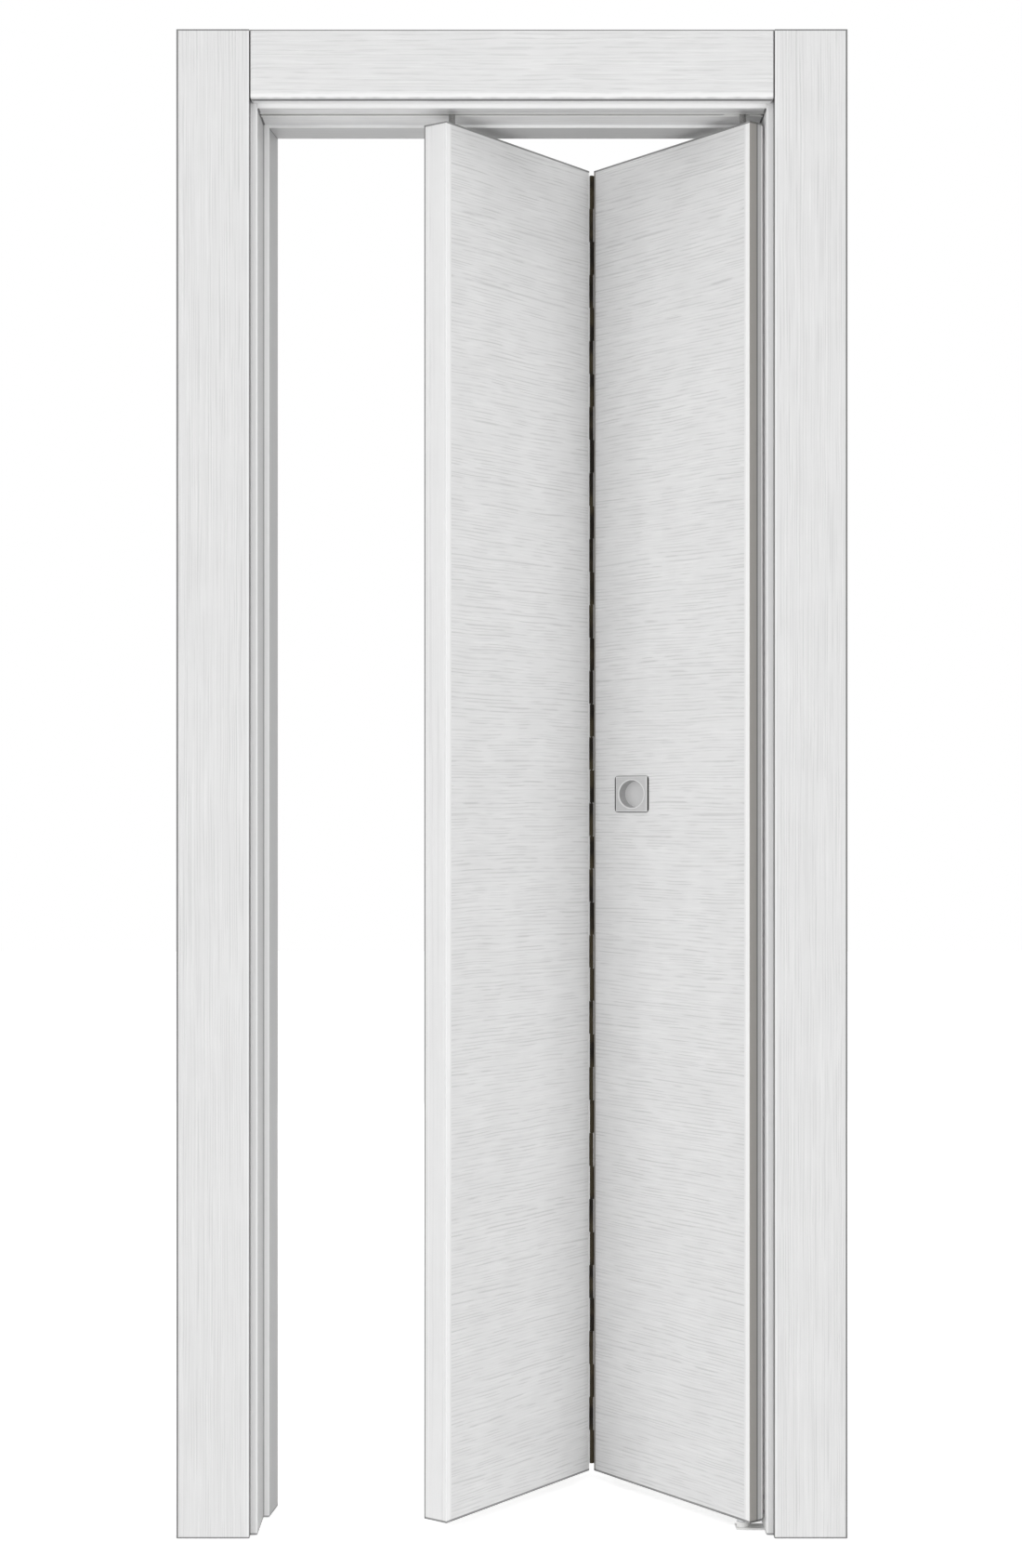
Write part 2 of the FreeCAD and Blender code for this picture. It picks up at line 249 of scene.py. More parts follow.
# the white embossed foil; marks() gives the masks and tones of its white, shaded and bare edges
def makeFoil(name, s, marks):
    f = foilSettings
    material, tree, shader = newMaterial(name)
    coords = objectCoords(tree)
    grain = addNode(tree, "ShaderNodeGroup", {
        "Vector": placed(tree, coords, s.get("origin", (0, 0, 0)), s.get("turn", (0, 0, 0))),
        "Along": s["along"], "Across": s["across"], "Waver": s["waver"], "Coverage": s["coverage"],
    }, node_tree=grainGroup).outputs
    colour = mixed(tree, grain["Clouds"], grey(s["white"] - s["cloud"]), grey(s["white"]))
    colour = painted(tree, colour, [
        (scaled(tree, grain["Ridges"], s["depth"] / 2), f["ridgeTone"]),
        (scaled(tree, grain["Pores"], s["depth"]), grey(s["dark"])),
    ] + marks(tree, coords))
    setInputs(tree, shader, {
        "Base Color": colour, "Roughness": ranged(tree, grain["Pores"], 0.0, 1.0, *f["roughness"])})
    relief = maths(tree, "SUBTRACT", grain["Pores"], grain["Ridges"])
    emboss(tree, shader, relief, f["bump"], f["bumpDistance"], invert=True)
    return material


def linked(name, data):
    thing = bpy.data.objects.new(name, data)
    bpy.context.scene.collection.objects.link(thing)
    return thing


def finish(name, mesh, body, slotName, material, *replaced):
    mesh.materials.clear()
    mesh.materials.append(material)
    piece = linked(name, mesh)
    if replaced:
        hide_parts(*replaced)
    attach(piece, body)
    return piece


meshSettings = {"sharpFrom": math.radians(50), "roundFrom": 0.4, "weld": 1e-6, "flat": 0.01}


def weightedMesh(bm, name):
    mesh = bpy.data.meshes.new(name)
    bm.to_mesh(mesh)
    bm.free()
    mesh.shade_smooth()
    mesh.set_sharp_from_angle(angle=meshSettings["sharpFrom"])
    holder = linked(name + "Raw", mesh)
    modifier = holder.modifiers.new("weighted", "WEIGHTED_NORMAL")
    modifier.keep_sharp = True
    modifier.weight = 100
    depsgraph = bpy.context.evaluated_depsgraph_get()
    result = bpy.data.meshes.new_from_object(holder.evaluated_get(depsgraph))
    bpy.data.objects.remove(holder)
    result.name = name
    return result


def rounded(bm, pick, radius, segments):
    edges = [e for e in bm.edges if len(e.link_faces) == 2 and e.calc_face_angle() > meshSettings["roundFrom"]
             and all(pick(v.co) for v in e.verts)]
    bmesh.ops.bevel(bm, geom=edges, offset=radius, offset_type="OFFSET", segments=segments, profile=0.5,
                    affect="EDGES", clamp_overlap=True)


# a copy of a node's mesh with the arrises that pick() names rounded over
def eased(node, pick, radius, segments=3):
    bm = bmesh.new()
    bm.from_mesh(nodes[node].data)
    bmesh.ops.remove_doubles(bm, verts=bm.verts, dist=meshSettings["weld"])
    bmesh.ops.dissolve_limit(bm, angle_limit=meshSettings["flat"], verts=bm.verts, edges=bm.edges)
    rounded(bm, pick, radius, segments)
    return weightedMesh(bm, node + "Eased")


def near(value, target, slack=1e-4):
    return abs(value - target) < slack


def slab(bm, low, high):
    made = bmesh.ops.create_cube(bm, size=1.0)["verts"]
    for v in made:
        v.co = Vector([low[i] + (v.co[i] + 0.5) * (high[i] - low[i]) for i in range(3)])
    return made


nodeFinish = {}          # finish of every node, also of those that a finer piece stands for

casingSettings = {
    "inner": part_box("head_casing")[1].x, "outer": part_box("right_casing")[1].x,
    "front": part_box("head_casing")[0].y, "top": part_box("head_casing")[1].z,
    "headLow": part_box("head_casing")[0].z, "arris": 0.0016, "headArris": 0.0040, "headCorner": 0.005,
    "jointGap": 0.0008,
    "tongue": {"outer": 0.389, "width": 0.006, "depth": 0.012, "top": 2.041, "root": 0.001},
    "foil": {"turn": (0, 90, 0), "along": 6.0, "across": 520.0, "waver": 0.003, "coverage": 0.5,
             "depth": 0.44, "white": 0.785, "dark": 0.5, "cloud": 0.02},
    "headFoil": {"along": 13.0, "across": 350.0, "waver": 0.006, "coverage": 0.5, "depth": 0.36,
                 "white": 0.79, "dark": 0.5, "cloud": 0.02},
    # painted tones: rim shade lines along the arrises, top and foot, joint shade in the joints and down the
    # inner side face, and a painted highlight by the inner edge and on the header's lower roll and underside
    "rimShadeTone": grey(0.09), "jointShadeTone": grey(0.09), "paintedHighlightTone": grey(0.97), "shadeTone": grey(0.46),
    "rimShadeStrength": 0.8, "rim": 0.0028, "topRim": 0.0024, "foot": 0.0022, "joint": 0.0002,
    "glintStrength": 0.5, "glint": (0.001, 0.0030), "glintSoft": 0.001,
}
# heights over the header's lower edge, and depths behind its face
headMarkSettings = {
    "wave": (55.0, 0.003), "roll": (0.0045, 0.0115), "rollSoft": (0.001, 0.006), "shade": (0.0075, 0.003),
    "under": 0.0013, "underSoft": 0.0008, "belly": 0.0035, "bellySoft": 0.001, "ends": 0.0016,
    "strength": 0.8,
}


# painted shade lines along the outer arrises, top and foot, a painted highlight by the inner edge, and
# painted shade down the inner side face, beside the lining and in the joint with the header
def casingMarks(tree, coords):
    c = casingSettings
    x, _, z = axesOf(tree, coords)
    across = maths(tree, "ABSOLUTE", x)
    rim = anyOf(tree, past(tree, across, c["outer"] - c["rim"]), past(tree, z, c["top"] - c["topRim"]),
                short(tree, z, c["foot"]))
    glintFrom, glintTo = c["glint"]
    glint = allOf(tree, short(tree, across, c["inner"] + glintTo, c["glintSoft"]),
                  past(tree, across, c["inner"] + glintFrom))
    return [(scaled(tree, glint, c["glintStrength"]), c["paintedHighlightTone"]),
            (scaled(tree, rim, c["rimShadeStrength"]), c["rimShadeTone"]),
            (short(tree, across, c["inner"] + c["joint"]), c["jointShadeTone"])]


# the header's lower roll with a painted highlight and painted shade under it, painted shade along the
# underside's front, at its two ends and along the top, and a painted highlight on the rest of the underside
def headCasingMarks(tree, coords):
    c, m = casingSettings, headMarkSettings
    x, y, z = axesOf(tree, coords)
    low, lip = c["headLow"], c["front"] + m["belly"]
    waveScale, waveBy = m["wave"]
    drop = maths(tree, "ADD", z, scaled(tree, noise(tree, coords, waveScale, 1.0), waveBy))
    roll = allOf(tree, past(tree, drop, low + m["roll"][0], m["rollSoft"][0]),
                 short(tree, drop, low + m["roll"][1], m["rollSoft"][1]))
    bottom = short(tree, z, low + m["under"], m["underSoft"])
    under = allOf(tree, bottom, short(tree, y, lip, m["bellySoft"]))
    belly = allOf(tree, bottom, past(tree, y, lip, m["bellySoft"]))
    ends = past(tree, maths(tree, "ABSOLUTE", x), c["inner"] - m["ends"])
    rim = past(tree, z, c["top"] - c["topRim"])
    shade = ranged(tree, drop, low + m["shade"][0], low + m["shade"][1])
    return [(scaled(tree, roll, m["strength"]), c["paintedHighlightTone"]),
            (scaled(tree, shade, m["strength"]), c["shadeTone"]),
            (scaled(tree, rim, c["rimShadeStrength"]), c["rimShadeTone"]),
            (belly, c["paintedHighlightTone"]), (anyOf(tree, under, ends), c["jointShadeTone"])]


def makeCasings():
    c = casingSettings
    t = c["tongue"]
    foil = makeFoil("casingFoil", c["foil"], casingMarks)
    headFoil = makeFoil("headerFoil", c["headFoil"], headCasingMarks)
    for side, name in ((-1, "left"), (1, "right")):
        bm = bmesh.new()
        x0, x1 = sorted((side * c["inner"], side * c["outer"]))
        slab(bm, (x0, c["front"], 0.0), (x1, 0.0, c["top"]))
        rounded(bm, lambda p: near(p.y, c["front"]), c["arris"], 4)
        x0, x1 = sorted((side * (t["outer"] - t["width"]), side * t["outer"]))
        slab(bm, (x0, -t["root"], 0.0), (x1, t["depth"], t["top"]))
        finish(name + "CasingBoard", weightedMesh(bm, name + "CasingBoard"), "frame", "white_wood", foil,
               name + "_casing")
        nodeFinish[name + "_casing"] = foil
    bm = bmesh.new()
    reach = c["inner"] - c["jointGap"]
    slab(bm, (-reach, c["front"], c["headLow"]), (reach, 0.0, c["top"]))
    for end in (-reach, reach):
        rounded(bm, lambda p: near(p.x, end) and near(p.z, c["headLow"]), c["headCorner"], 5)
    rounded(bm, lambda p: near(p.y, c["front"]), c["headArris"], 5)
    slab(bm, (-reach, -t["root"], t["top"] - t["width"]), (reach, t["depth"], t["top"]))
    finish("headCasingBoard", weightedMesh(bm, "headCasingBoard"), "frame", "white_wood", headFoil,
           "head_casing")
    nodeFinish["head_casing"] = headFoil


makeCasings()
print("casings made")

liningSettings = {
    "half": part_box("head_jamb")[1].x, "soffit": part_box("head_jamb")[0].z, "jambArris": 0.0022,
    "stopArris": 0.0018, "stopFront": 0.088, "stopRise": 0.351, "headStopLow": 2.007,
    "foil": {"turn": (0, 90, 0), "along": 6.0, "across": 520.0, "waver": 0.003, "coverage": 0.5,
             "depth": 0.25, "white": 0.80, "dark": 0.5, "cloud": 0.05},
    "headFoil": {"along": 9.0, "across": 330.0, "waver": 0.004, "coverage": 0.5, "depth": 0.30,
                 "white": 0.80, "dark": 0.5, "cloud": 0.03},
    # painted tones: shade in the corners, on the reveals and the stops' inner faces, and a painted highlight
    # on the front faces and arrises
    "shadeTone": grey(0.11), "arrisHighlightTone": grey(0.98), "revealShadeTone": grey(0.52), "innerShadeTone": grey(0.44),
    "headInnerShadeTone": grey(0.50),
}
liningMarkSettings = {
    "face": 0.0028, "faceSoft": 0.0012, "reveal": (0.0006, 0.0030), "beside": (0.040, 0.01), "foot": 0.0024,
    "mitre": 0.0024, "corner": 0.0013, "cornerFrom": 0.002, "cornerStrength": 0.7, "headStrength": 0.9,
    "stopFace": 0.003, "stopSoft": 0.002, "stopMitre": 0.0015, "stopCorner": 0.0011, "stopStrength": 0.6,
    "headStopFace": 0.002, "headStopSoft": 0.0015, "faceStrength": 0.85,
}


# painted highlight on the front edges and faces, and painted shade in the inside corners, on the reveals, the
# stops' inner faces and along the feet: side boards, head board, then the stops
def sideJambMarks(tree, coords):
    s, m = liningSettings, liningMarkSettings
    x, y, z = axesOf(tree, coords)
    front = short(tree, y, m["face"], m["faceSoft"])
    # painted highlight on the right jamb's reveal beside the pivot leaf's heel, where it lies in shade
    paintedLightBesideHeel = allOf(tree, past(tree, x, 0.0), short(tree, y, *m["beside"]))    # beside the pivot leaf's heel
    side = short(tree, maths(tree, "ABSOLUTE", x), s["half"] + m["reveal"][0])
    reveal = allOf(tree, side, past(tree, y, m["reveal"][1], m["faceSoft"]))
    corner = allOf(tree, side, past(tree, y, m["cornerFrom"]), anyOf(
        tree, past(tree, z, s["soffit"] - m["mitre"]), past(tree, y, s["stopFront"] - m["corner"])))
    dark = anyOf(tree, corner, short(tree, z, m["foot"]))
    return [(reveal, s["revealShadeTone"]), (anyOf(tree, front, paintedLightBesideHeel), s["arrisHighlightTone"]),
            (scaled(tree, dark, m["cornerStrength"]), s["shadeTone"])]


def headJambMarks(tree, coords):
    s, m = liningSettings, liningMarkSettings
    x, y, _ = axesOf(tree, coords)
    corner = allOf(tree, past(tree, y, m["cornerFrom"]),
                   past(tree, maths(tree, "ABSOLUTE", x), s["half"] - m["mitre"]))
    return [(short(tree, y, m["face"], m["faceSoft"]), s["arrisHighlightTone"]),
            (scaled(tree, corner, m["headStrength"]), s["shadeTone"])]


def sideStopMarks(tree, coords):
    s, m = liningSettings, liningMarkSettings
    x, y, z = axesOf(tree, coords)
    edge = s["stopFront"] + m["stopFace"]
    face, inner = short(tree, y, edge, m["stopSoft"]), past(tree, y, edge, m["stopSoft"])
    dark = anyOf(tree, allOf(tree, inner, past(tree, z, s["headStopLow"] - m["stopMitre"])),
                 allOf(tree, face, past(tree, maths(tree, "ABSOLUTE", x), s["half"] - m["stopCorner"])),
                 short(tree, z, m["foot"]))
    return [(scaled(tree, face, m["faceStrength"]), s["arrisHighlightTone"]), (inner, s["innerShadeTone"]),
            (scaled(tree, dark, m["stopStrength"]), s["shadeTone"])]


def headStopMarks(tree, coords):
    s, m = liningSettings, liningMarkSettings
    x, y, _ = axesOf(tree, coords)
    edge = s["stopFront"] + m["headStopFace"]
    face, inner = short(tree, y, edge, m["headStopSoft"]), past(tree, y, edge, m["headStopSoft"])
    corner = allOf(tree, inner, past(tree, maths(tree, "ABSOLUTE", x), s["stopRise"] - m["stopMitre"]))
    return [(scaled(tree, face, m["faceStrength"]), s["arrisHighlightTone"]), (inner, s["headInnerShadeTone"]),
            (scaled(tree, corner, m["stopStrength"]), s["shadeTone"])]


def makeLining():
    s = liningSettings
    foils = {
        "jamb": makeFoil("sideJambFoil", s["foil"], sideJambMarks),
        "stop": makeFoil("sideStopFoil", s["foil"], sideStopMarks),
        "headJamb": makeFoil("headJambFoil", s["headFoil"], headJambMarks),
        "headStop": makeFoil("headStopFoil", s["headFoil"], headStopMarks),
    }
    for side, name in ((-1, "left"), (1, "right")):
        wall = side * s["half"]
        mesh = eased(name + "_jamb", lambda p: near(p.x, wall) and near(p.y, 0.0), s["jambArris"], 4)
        finish(name + "JambBoard", mesh, "frame", "white_wood", foils["jamb"], name + "_jamb")
        rise = side * s["stopRise"]
        mesh = eased(name + "_stop", lambda p: near(p.x, rise) and near(p.y, s["stopFront"]), s["stopArris"])
        finish(name + "StopStrip", mesh, "frame", "white_wood", foils["stop"], name + "_stop")
        nodeFinish.update({name + "_jamb": foils["jamb"], name + "_stop": foils["stop"]})
    mesh = eased("head_jamb", lambda p: near(p.z, s["soffit"]) and near(p.y, 0.0), s["jambArris"], 4)
    finish("headJambBoard", mesh, "frame", "white_wood", foils["headJamb"], "head_jamb")
    mesh = eased("head_stop", lambda p: near(p.z, s["headStopLow"]) and near(p.y, s["stopFront"]),
                 s["stopArris"])
    finish("headStopStrip", mesh, "frame", "white_wood", foils["headStop"], "head_stop")
    nodeFinish.update({"head_jamb": foils["headJamb"], "head_stop": foils["headStop"]})


makeLining()
print("lining made")

leafSettings = {
    "foil": {"along": 14.0, "across": 390.0, "waver": 0.006, "coverage": 0.3, "depth": 0.48,
             "white": 0.83, "dark": 0.46, "cloud": 0.03},
    "edgeFoil": {"turn": (0, 90, 0), "along": 5.0, "across": 560.0, "waver": 0.002, "coverage": 0.4,
                 "depth": 0.18, "white": 0.88, "dark": 0.5, "cloud": 0.02},
    "arris": 0.0009, "foldArris": 0.00054, "lippingTone": grey(0.98), "lippingFrom": 0.0185,
    "foldTo": -0.3215, "faceDepth": (0.0006, 0.0003),
    # rim tones are painted shade lines along the top and foot, back tones a painted shade line along the lead
    # lipping's back arris
    "rimShadeTone": grey(0.10), "rimShadeStrength": 0.75, "topRim": 0.0027, "footRim": 0.0031,
    "seamTone": grey(0.93), "seams": (-0.0062, 0.0205), "seamWidth": 0.0007, "seamStrength": 0.8,
    "heelTone": rgb(0.36, 0.345, 0.325), "heelFrom": 0.0268, "heelBack": 0.0030, "heelPale": grey(0.56),
    "palePart": 0.0105, "heelLine": 0.0016, "lineStrength": 0.6, "lineSoft": 0.0006,
    "backShadeTone": grey(0.20), "backShadeLine": 0.0024,
}


def leafAxes(tree, coords, side):
    p = leafPlace[side]
    x, y, z = axesOf(tree, placed(tree, coords, p["origin"], (0, 0, p["turn"])))
    return scaled(tree, x, float(p["flip"])), y, z


# painted shade lines along the top and foot edges
def leafRimShade(tree, z):
    s = leafSettings
    rim = anyOf(tree, past(tree, z, leafShape["high"] - s["topRim"]),
                short(tree, z, leafShape["low"] + s["footRim"]))
    return scaled(tree, rim, s["rimShadeStrength"]), s["rimShadeTone"]


def skinMarks(tree, coords):
    return [leafRimShade(tree, axesOf(tree, coords)["Z"])]


# the lipping shows white beside the skin, with pale seams down its edge; the pivot heel beside the jamb is
# taupe, then grey, then white, with a dark line
def lippingMarks(side):
    def marks(tree, coords):
        s = leafSettings
        x, y, z = leafAxes(tree, coords, side)
        soft, (frontDepth, backDepth) = s["lineSoft"], s["faceDepth"]
        faces = anyOf(tree, short(tree, y, leafShape["front"] + frontDepth, soft),
                      past(tree, y, leafShape["back"] - backDepth))
        band = allOf(tree, faces, anyOf(tree, past(tree, x, s["lippingFrom"]), short(tree, x, s["foldTo"])))
        found = [(band, s["lippingTone"])]
        for at in s["seams"]:
            seam = short(tree, apart(tree, y, at), s["seamWidth"], soft)
            found.append((scaled(tree, seam, s["seamStrength"]), s["seamTone"]))
        if side == "pivot":
            heel = past(tree, lengthOf(tree, x, maths(tree, "MAXIMUM", y, 0.0)), s["heelFrom"])
            pale = allOf(tree, heel, past(tree, y, s["heelBack"]), short(tree, y, s["palePart"]))
            line = allOf(tree, heel, short(tree, apart(tree, y, s["heelBack"]), s["heelLine"], soft))
            found += [
                (allOf(tree, heel, short(tree, y, s["heelBack"])), s["heelTone"]),
                (pale, s["heelPale"]),
                (allOf(tree, heel, past(tree, y, s["palePart"])), s["lippingTone"]),
                (scaled(tree, line, s["lineStrength"]), s["rimShadeTone"]),
            ]
        else:
            # painted shade along the lead lipping's back arris
            found.append((past(tree, y, leafShape["back"] - s["backShadeLine"]), s["backShadeTone"]))
        return found + [leafRimShade(tree, z)]
    return marks


# the outer and fold lippings, their long exposed arrises eased
def makeLeafFaces():
    s, e = leafSettings, leafShape
    for side in ("pivot", "lead"):
        p = leafPlace[side]
        laid = {**s["foil"], "origin": p["origin"], "turn": (0, 0, p["turn"])}
        skin = makeFoil(side + "SkinFoil", laid, skinMarks)
        edge = makeFoil(side + "LippingFoil", s["edgeFoil"], lippingMarks(side))
        toLeaf = leafMatrix(side).inverted()

        def onEdge(point, x):
            q = toLeaf @ point
            return near(p["flip"] * q.x, x) and (near(q.y, e["front"]) or near(q.y, e["back"]))

        mesh = eased(side + "_leaf_outer_lipping", lambda v: onEdge(v, e["outer"]), s["arris"])
        finish(side + "OuterLipping", mesh, side + "_leaf", "white_wood", edge, side + "_leaf_outer_lipping")
        mesh = eased(side + "_leaf_fold_lipping", lambda v: onEdge(v, e["fold"]), s["foldArris"], 2)
        finish(side + "FoldLipping", mesh, side + "_leaf", "white_wood", edge, side + "_leaf_fold_lipping")
        nodeFinish.update({
            side + "_leaf_front_skin": skin, side + "_leaf_back_skin": skin,
            side + "_leaf_outer_lipping": edge, side + "_leaf_fold_lipping": edge,
        })


makeLeafFaces()
print("skins and lippings made")


insideSettings = {
    "primer": rgb(0.74, 0.74, 0.73), "primed": 0.001,
    "wood": {"laid": (60.0, 60.0, 2.5), "early": rgb(0.74, 0.56, 0.36), "late": rgb(0.60, 0.41, 0.22),
             "pores": rgb(0.45, 0.30, 0.17), "roughness": 0.75, "bump": 0.3, "bumpDistance": 0.0004},
    "board": {"laid": (300.0, 300.0, 120.0), "pale": rgb(0.72, 0.58, 0.40), "dark": rgb(0.50, 0.37, 0.23),
              "dust": rgb(0.36, 0.26, 0.16), "roughness": 0.85, "bump": 0.4, "bumpDistance": 0.0005},
}


# primer over the cut ends of the inside woods
def primedEnds(tree, coords, colour):
    height, deep = axesOf(tree, coords)["Z"], insideSettings["primed"]
    ends = anyOf(tree, short(tree, height, leafShape["low"] + deep, deep),
                 past(tree, height, leafShape["high"] - deep, deep))
    return mixed(tree, ends, colour, insideSettings["primer"])


def makeSoftwood():
    s = insideSettings["wood"]
    material, tree, shader = newMaterial("sawnSoftwood")
    coords = objectCoords(tree)
    laid = drawnOut(tree, coords, s["laid"])
    rings = addNode(tree, "ShaderNodeTexWave", {
        "Vector": laid, "Scale": 1.2, "Distortion": 3.5, "Detail": 2.0,
    }, wave_type="RINGS", rings_direction="Z")
    pores = noise(tree, laid, 6.0, 3.0)
    wood = mixed(tree, rings.outputs["Fac"], s["early"], s["late"])
    wood = mixed(tree, ranged(tree, pores, 0.4, 0.8, 0.0, 0.4), wood, s["pores"])
    setInputs(tree, shader, {"Base Color": primedEnds(tree, coords, wood), "Roughness": s["roughness"]})
    emboss(tree, shader, pores, s["bump"], s["bumpDistance"])
    return material


def makeCoreBoard():
    s = insideSettings["board"]
    material, tree, shader = newMaterial("particleBoard")
    coords = objectCoords(tree)
    laid = drawnOut(tree, coords, s["laid"])
    chips = addNode(tree, "ShaderNodeTexVoronoi", {"Vector": laid, "Scale": 1.0, "Randomness": 1.0})
    dust = noise(tree, laid, 3.0, 2.0)
    tone = addNode(tree, "ShaderNodeSeparateColor", {"Color": chips.outputs["Color"]}).outputs[0]
    wood = mixed(tree, tone, s["pale"], s["dark"])
    wood = mixed(tree, ranged(tree, dust, 0.45, 0.75, 0.0, 0.5), wood, s["dust"])
    setInputs(tree, shader, {"Base Color": primedEnds(tree, coords, wood), "Roughness": s["roughness"]})
    emboss(tree, shader, chips.outputs["Distance"], s["bump"], s["bumpDistance"])
    return material


fineBump = {"metal": (0.15, 0.0001), "coat": (0.2, 0.0001), "pull": (0.1, 0.0001)}     # strength, distance


def makeMetal(name, light, dark, laid, roughness):
    material, tree, shader = newMaterial(name)
    lines = noise(tree, drawnOut(tree, objectCoords(tree), laid), 1.0, 3.0, Roughness=0.6)
    setInputs(tree, shader, {
        "Base Color": mixed(tree, ranged(tree, lines, 0.35, 0.65), dark, light),
        "Roughness": ranged(tree, lines, 0.3, 0.7, *roughness), "Metallic": 1.0})
    emboss(tree, shader, lines, *fineBump["metal"])
    return material


hingeSettings = {
    "axis": (-0.328, -0.0136), "low": 0.025, "high": 1.988, "knuckles": 39, "gap": 0.0004, "radius": 0.0029,
    "plate": 0.0012, "plateFront": -0.01035, "plateBack": 0.015, "tabBack": 0.002, "tabShare": 0.98,
    "arris": 0.0003,
}
bronzeSettings = {
    "reach": 0.0075, "reachSoft": 0.002, "worn": rgb(0.050, 0.040, 0.022), "black": rgb(0.016, 0.013, 0.009),
    "plain": rgb(0.040, 0.032, 0.019), "rubbed": rgb(0.11, 0.08, 0.04), "bandLaid": (4.0, 4.0, 26.0),
    "bands": (0.38, 0.56), "rubSize": 420.0, "rub": (0.62, 0.8, 0.0, 0.35), "roughness": (0.46, 0.62),
    "metallic": 0.25, "gloss": 0.2,
}


# plain dark bronze, worn through in bands on the knuckles
def makeHingeBronze():
    s = bronzeSettings
    material, tree, shader = newMaterial("hingeBronze")
    coords = objectCoords(tree)
    x, y, _ = axesOf(tree, coords)
    fold = leafMatrix("pivot") @ Vector((*hingeSettings["axis"], 0.0))
    reach = lengthOf(tree, maths(tree, "SUBTRACT", x, fold.x), maths(tree, "SUBTRACT", y, fold.y))
    patches = noise(tree, drawnOut(tree, coords, s["bandLaid"]), 1.0, 1.0)
    rub = noise(tree, coords, s["rubSize"], 2.0)
    bands = mixed(tree, ranged(tree, patches, *s["bands"]), s["black"], s["worn"])
    lacquer = mixed(tree, past(tree, reach, s["reach"], s["reachSoft"]), bands, s["plain"])
    setInputs(tree, shader, {
        "Base Color": mixed(tree, ranged(tree, rub, *s["rub"]), lacquer, s["rubbed"]),
        "Roughness": ranged(tree, rub, 0.3, 0.8, *s["roughness"]),
        "Metallic": s["metallic"], "Specular IOR Level": s["gloss"]})
    return material


def makeNylon():
    material, tree, shader = newMaterial("naturalNylon")
    speck = noise(tree, objectCoords(tree), 350.0, 2.0)
    setInputs(tree, shader, {
        "Base Color": mixed(tree, speck, rgb(0.72, 0.72, 0.68), rgb(0.80, 0.80, 0.77)),
        "Roughness": ranged(tree, speck, 0.3, 0.7, 0.38, 0.5), "Subsurface Weight": 0.05})
    return material


def makeCoat(name, light, dark, roughness, peelSize):
    material, tree, shader = newMaterial(name)
    peel = noise(tree, objectCoords(tree), peelSize, 2.0)
    setInputs(tree, shader, {
        "Base Color": mixed(tree, ranged(tree, peel, 0.3, 0.7), dark, light),
        "Roughness": ranged(tree, peel, 0.3, 0.7, *roughness)})
    emboss(tree, shader, peel, *fineBump["coat"])
    return material


pullSettings = {
    "x": -0.2345, "z": 1.045, "front": -0.0126, "face": -0.011,
    "width": 0.079, "height": 0.0555, "corner": 0.006, "edge": 0.0012,
    "rim": (0.0290, 0.0205), "draft": 0.0008, "depth": 0.012, "wall": 0.001,
    "lip": 0.0009, "hollow": 0.0012, "points": 96, "leastCorner": 0.0004, "farOut": 0.1, "halvings": 40,
    "aroundLip": ((3.0, 0.00005), (1.6, 0.0)), "lipShare": 0.9, "floorIn": 0.008, "backIn": 0.004,
    "backCorner": 0.6, "flange": 0.002,
    # painted tones: a highlight on the lip and in a frame inside the plate's edge, shade down the cup's wall
    # and on the bevelled sides, and a lighter cup floor against the cup's shade
    "plateTone": (grey(0.61), grey(0.66)), "lipHighlightTone": grey(0.86), "wallShadeTone": grey(0.46),
    "floorPaintedLightTone": grey(0.73), "brush": (60.0, 1400.0), "roughness": (0.34, 0.46), "metallic": 0.2,
    "cupReach": (1.08, 0.99), "reachSoft": 0.02, "lipDepth": 0.0012, "wallFrom": 0.0009, "wallSoft": 0.0006,
    "floorRise": 0.0004, "floorSoft": 0.001, "frameHighlight": (0.0050, 0.0026), "frameHighlightStrength": 0.7,
    "bevelShades": {"top": (0.0017, grey(0.40)), "fold": (0.0036, grey(0.08)), "low": (0.0015, grey(0.14)),
               "outer": (0.0022, grey(0.04))},
}


